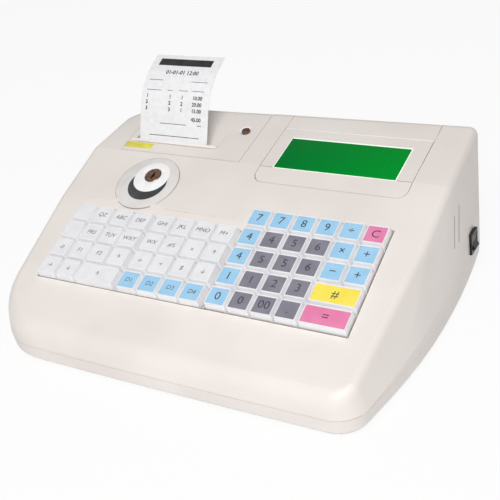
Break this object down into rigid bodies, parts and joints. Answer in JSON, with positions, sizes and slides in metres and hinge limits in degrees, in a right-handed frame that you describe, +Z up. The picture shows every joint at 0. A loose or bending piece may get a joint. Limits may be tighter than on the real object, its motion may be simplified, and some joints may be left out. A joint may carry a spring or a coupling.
{
  "type": "ticket register",
  "caption": "Desk-top billing till: sloping ivory case with a two-block keyboard, key lock, green display and a receipt printer under a hinged cover.",
  "frame": {"origin": "middle of the base at the level of the feet", "axes": "+X operator's right, +Y rear, +Z up"},
  "size_m": [0.2864, 0.2126, 0.1318],
  "materials": {
    "ivory_abs": "moulded ivory ABS, fine satin texture",
    "black_rubber": "matt black rubber",
    "steel": "plain zinc-plated steel",
    "bronze": "brown-bronze plated brass",
    "pale_abs": "pale moulded ABS",
    "thermal_paper": "smooth white thermal paper",
    "clear_window": "clear acrylic over a green display",
    "lcd_green": "backlit green display",
    "black_nylon": "black moulded nylon",
    "dark_abs": "dark grey moulded ABS",
    "silicone": "pale silicone rubber",
    "circuit_board": "green solder-masked laminate",
    "white_acetal": "white acetal",
    "brass": "turned brass",
    "key_white": "white moulded key cap"
  },
  "bodies": {
    "case": {"top_cover": "ivory_abs", "base_tray": "ivory_abs", "rubber_feet": "black_rubber", "case_screws": "steel", "display_bezel": "ivory_abs", "lcd_window": "clear_window", "lcd_panel": "lcd_green", "lock_body": "steel", "rocker_frame": "black_nylon", "key_frame": "dark_abs", "key_mat": "silicone", "keyboard_board": "circuit_board", "main_board": "circuit_board", "power_supply": "steel", "power_inlet": "black_nylon", "printer_frame": "steel", "printer_motor": "steel", "thermal_head": "dark_abs"},
    "lid": {"printer_cover": "ivory_abs", "tear_bar": "pale_abs", "receipt": "thermal_paper"},
    "latch": {"cover_latch": "bronze"},
    "lock": {"lock_cylinder": "bronze"},
    "power_rocker": {"rocker": "black_nylon"},
    "platen": {"platen_roller": "black_rubber", "platen_gear": "white_acetal"},
    "pinion": {"motor_pinion": "brass"},
    "roll": {"paper_roll": "thermal_paper"},
    "left_keys_row1": {"left_keys_row1": "key_white"},
    "left_keys_row2": {"left_keys_row2": "key_white"},
    "left_keys_row3": {"left_keys_row3": "key_white"},
    "left_keys_row4": {"left_keys_row4": "key_white"},
    "key_r1c1": {"key_r1c1": "key_white"},
    "key_r1c2": {"key_r1c2": "key_white"},
    "key_r1c3": {"key_r1c3": "key_white"},
    "key_r1c4": {"key_r1c4": "key_white"},
    "key_r1c5": {"key_r1c5": "key_white"},
    "key_r1c6": {"key_r1c6": "key_white"},
    "key_r2c1": {"key_r2c1": "key_white"},
    "key_r2c2": {"key_r2c2": "key_white"},
    "key_r2c3": {"key_r2c3": "key_white"},
    "key_r2c4": {"key_r2c4": "key_white"},
    "key_r2c5": {"key_r2c5": "key_white"},
    "key_r2c6": {"key_r2c6": "key_white"},
    "key_r3c1": {"key_r3c1": "key_white"},
    "key_r3c2": {"key_r3c2": "key_white"},
    "key_r3c3": {"key_r3c3": "key_white"},
    "key_r3c4": {"key_r3c4": "key_white"},
    "key_r3c5": {"key_r3c5": "key_white"},
    "key_r3c6": {"key_r3c6": "key_white"},
    "key_r4c1": {"key_r4c1": "key_white"},
    "key_r4c2": {"key_r4c2": "key_white"},
    "key_r4c3": {"key_r4c3": "key_white"},
    "key_r4c4": {"key_r4c4": "key_white"},
    "key_r4c5": {"key_r4c5": "key_white"},
    "key_r5c1": {"key_r5c1": "key_white"},
    "key_r5c2": {"key_r5c2": "key_white"},
    "key_r5c3": {"key_r5c3": "key_white"},
    "key_r5c4": {"key_r5c4": "key_white"},
    "key_r5c5": {"key_r5c5": "key_white"}
  },
  "joints": [
    {"name": "lid_hinge", "type": "hinge", "parent": "case", "child": "lid", "pos_m": [-0.06125, 0.09667, 0.08684], "axis": [-1, 0, 0], "range_deg": [0, 75]},
    {"name": "latch_turn", "type": "hinge", "parent": "lid", "child": "latch", "pos_m": [-0.02325, 0.076, 0.08694], "axis": [0, -0.2164, 0.9763], "range_deg": [0, 90]},
    {"name": "lock_turn", "type": "hinge", "parent": "case", "child": "lock", "pos_m": [-0.06985, 0.02319, 0.07244], "axis": [0, -0.342, 0.9397], "range_deg": [0, 90]},
    {"name": "rocker_swing", "type": "hinge", "parent": "case", "child": "power_rocker", "pos_m": [0.14005, 0.0675, 0.028], "axis": [0, 1, 0], "range_deg": [0, 24]},
    {"name": "platen_spin", "type": "hinge", "parent": "case", "child": "platen", "pos_m": [-0.07345, 0.05, 0.059], "axis": [1, 0, 0], "continuous": true},
    {"name": "pinion_spin", "type": "hinge", "parent": "case", "child": "pinion", "pos_m": [-0.07345, 0.05, 0.042], "axis": [1, 0, 0], "continuous": true},
    {"name": "roll_spin", "type": "hinge", "parent": "case", "child": "roll", "pos_m": [-0.07345, 0.081, 0.048], "axis": [1, 0, 0], "continuous": true},
    {"name": "left_keys_row1_press", "type": "slide", "parent": "case", "child": "left_keys_row1", "axis": [0, 0.342, -0.9397], "range_m": [0, 0.003], "stiffness_N_per_m": 1200, "springref_m": -0.0015},
    {"name": "left_keys_row2_press", "type": "slide", "parent": "case", "child": "left_keys_row2", "axis": [0, 0.342, -0.9397], "range_m": [0, 0.003], "stiffness_N_per_m": 1200, "springref_m": -0.0015},
    {"name": "left_keys_row3_press", "type": "slide", "parent": "case", "child": "left_keys_row3", "axis": [0, 0.342, -0.9397], "range_m": [0, 0.003], "stiffness_N_per_m": 1200, "springref_m": -0.0015},
    {"name": "left_keys_row4_press", "type": "slide", "parent": "case", "child": "left_keys_row4", "axis": [0, 0.342, -0.9397], "range_m": [0, 0.003], "stiffness_N_per_m": 1200, "springref_m": -0.0015},
    {"name": "key_r1c1_press", "type": "slide", "parent": "case", "child": "key_r1c1", "axis": [0, 0.342, -0.9397], "range_m": [0, 0.003], "stiffness_N_per_m": 150, "springref_m": -0.0015},
    {"name": "key_r1c2_press", "type": "slide", "parent": "case", "child": "key_r1c2", "axis": [0, 0.342, -0.9397], "range_m": [0, 0.003], "stiffness_N_per_m": 150, "springref_m": -0.0015},
    {"name": "key_r1c3_press", "type": "slide", "parent": "case", "child": "key_r1c3", "axis": [0, 0.342, -0.9397], "range_m": [0, 0.003], "stiffness_N_per_m": 150, "springref_m": -0.0015},
    {"name": "key_r1c4_press", "type": "slide", "parent": "case", "child": "key_r1c4", "axis": [0, 0.342, -0.9397], "range_m": [0, 0.003], "stiffness_N_per_m": 150, "springref_m": -0.0015},
    {"name": "key_r1c5_press", "type": "slide", "parent": "case", "child": "key_r1c5", "axis": [0, 0.342, -0.9397], "range_m": [0, 0.003], "stiffness_N_per_m": 150, "springref_m": -0.0015},
    {"name": "key_r1c6_press", "type": "slide", "parent": "case", "child": "key_r1c6", "axis": [0, 0.342, -0.9397], "range_m": [0, 0.003], "stiffness_N_per_m": 150, "springref_m": -0.0015},
    {"name": "key_r2c1_press", "type": "slide", "parent": "case", "child": "key_r2c1", "axis": [0, 0.342, -0.9397], "range_m": [0, 0.003], "stiffness_N_per_m": 150, "springref_m": -0.0015},
    {"name": "key_r2c2_press", "type": "slide", "parent": "case", "child": "key_r2c2", "axis": [0, 0.342, -0.9397], "range_m": [0, 0.003], "stiffness_N_per_m": 150, "springref_m": -0.0015},
    {"name": "key_r2c3_press", "type": "slide", "parent": "case", "child": "key_r2c3", "axis": [0, 0.342, -0.9397], "range_m": [0, 0.003], "stiffness_N_per_m": 150, "springref_m": -0.0015},
    {"name": "key_r2c4_press", "type": "slide", "parent": "case", "child": "key_r2c4", "axis": [0, 0.342, -0.9397], "range_m": [0, 0.003], "stiffness_N_per_m": 150, "springref_m": -0.0015},
    {"name": "key_r2c5_press", "type": "slide", "parent": "case", "child": "key_r2c5", "axis": [0, 0.342, -0.9397], "range_m": [0, 0.003], "stiffness_N_per_m": 150, "springref_m": -0.0015},
    {"name": "key_r2c6_press", "type": "slide", "parent": "case", "child": "key_r2c6", "axis": [0, 0.342, -0.9397], "range_m": [0, 0.003], "stiffness_N_per_m": 150, "springref_m": -0.0015},
    {"name": "key_r3c1_press", "type": "slide", "parent": "case", "child": "key_r3c1", "axis": [0, 0.342, -0.9397], "range_m": [0, 0.003], "stiffness_N_per_m": 150, "springref_m": -0.0015},
    {"name": "key_r3c2_press", "type": "slide", "parent": "case", "child": "key_r3c2", "axis": [0, 0.342, -0.9397], "range_m": [0, 0.003], "stiffness_N_per_m": 150, "springref_m": -0.0015},
    {"name": "key_r3c3_press", "type": "slide", "parent": "case", "child": "key_r3c3", "axis": [0, 0.342, -0.9397], "range_m": [0, 0.003], "stiffness_N_per_m": 150, "springref_m": -0.0015},
    {"name": "key_r3c4_press", "type": "slide", "parent": "case", "child": "key_r3c4", "axis": [0, 0.342, -0.9397], "range_m": [0, 0.003], "stiffness_N_per_m": 150, "springref_m": -0.0015},
    {"name": "key_r3c5_press", "type": "slide", "parent": "case", "child": "key_r3c5", "axis": [0, 0.342, -0.9397], "range_m": [0, 0.003], "stiffness_N_per_m": 150, "springref_m": -0.0015},
    {"name": "key_r3c6_press", "type": "slide", "parent": "case", "child": "key_r3c6", "axis": [0, 0.342, -0.9397], "range_m": [0, 0.003], "stiffness_N_per_m": 150, "springref_m": -0.0015},
    {"name": "key_r4c1_press", "type": "slide", "parent": "case", "child": "key_r4c1", "axis": [0, 0.342, -0.9397], "range_m": [0, 0.003], "stiffness_N_per_m": 150, "springref_m": -0.0015},
    {"name": "key_r4c2_press", "type": "slide", "parent": "case", "child": "key_r4c2", "axis": [0, 0.342, -0.9397], "range_m": [0, 0.003], "stiffness_N_per_m": 150, "springref_m": -0.0015},
    {"name": "key_r4c3_press", "type": "slide", "parent": "case", "child": "key_r4c3", "axis": [0, 0.342, -0.9397], "range_m": [0, 0.003], "stiffness_N_per_m": 150, "springref_m": -0.0015},
    {"name": "key_r4c4_press", "type": "slide", "parent": "case", "child": "key_r4c4", "axis": [0, 0.342, -0.9397], "range_m": [0, 0.003], "stiffness_N_per_m": 150, "springref_m": -0.0015},
    {"name": "key_r4c5_press", "type": "slide", "parent": "case", "child": "key_r4c5", "axis": [0, 0.342, -0.9397], "range_m": [0, 0.003], "stiffness_N_per_m": 150, "springref_m": -0.0015},
    {"name": "key_r5c1_press", "type": "slide", "parent": "case", "child": "key_r5c1", "axis": [0, 0.342, -0.9397], "range_m": [0, 0.003], "stiffness_N_per_m": 150, "springref_m": -0.0015},
    {"name": "key_r5c2_press", "type": "slide", "parent": "case", "child": "key_r5c2", "axis": [0, 0.342, -0.9397], "range_m": [0, 0.003], "stiffness_N_per_m": 150, "springref_m": -0.0015},
    {"name": "key_r5c3_press", "type": "slide", "parent": "case", "child": "key_r5c3", "axis": [0, 0.342, -0.9397], "range_m": [0, 0.003], "stiffness_N_per_m": 150, "springref_m": -0.0015},
    {"name": "key_r5c4_press", "type": "slide", "parent": "case", "child": "key_r5c4", "axis": [0, 0.342, -0.9397], "range_m": [0, 0.003], "stiffness_N_per_m": 150, "springref_m": -0.0015},
    {"name": "key_r5c5_press", "type": "slide", "parent": "case", "child": "key_r5c5", "axis": [0, 0.342, -0.9397], "range_m": [0, 0.003], "stiffness_N_per_m": 150, "springref_m": -0.0015}
  ],
  "couplings": [
    {"joint": "platen_spin", "follows": "roll_spin", "ratio": -3.5},
    {"joint": "pinion_spin", "follows": "roll_spin", "ratio": 8.4}
  ]
}
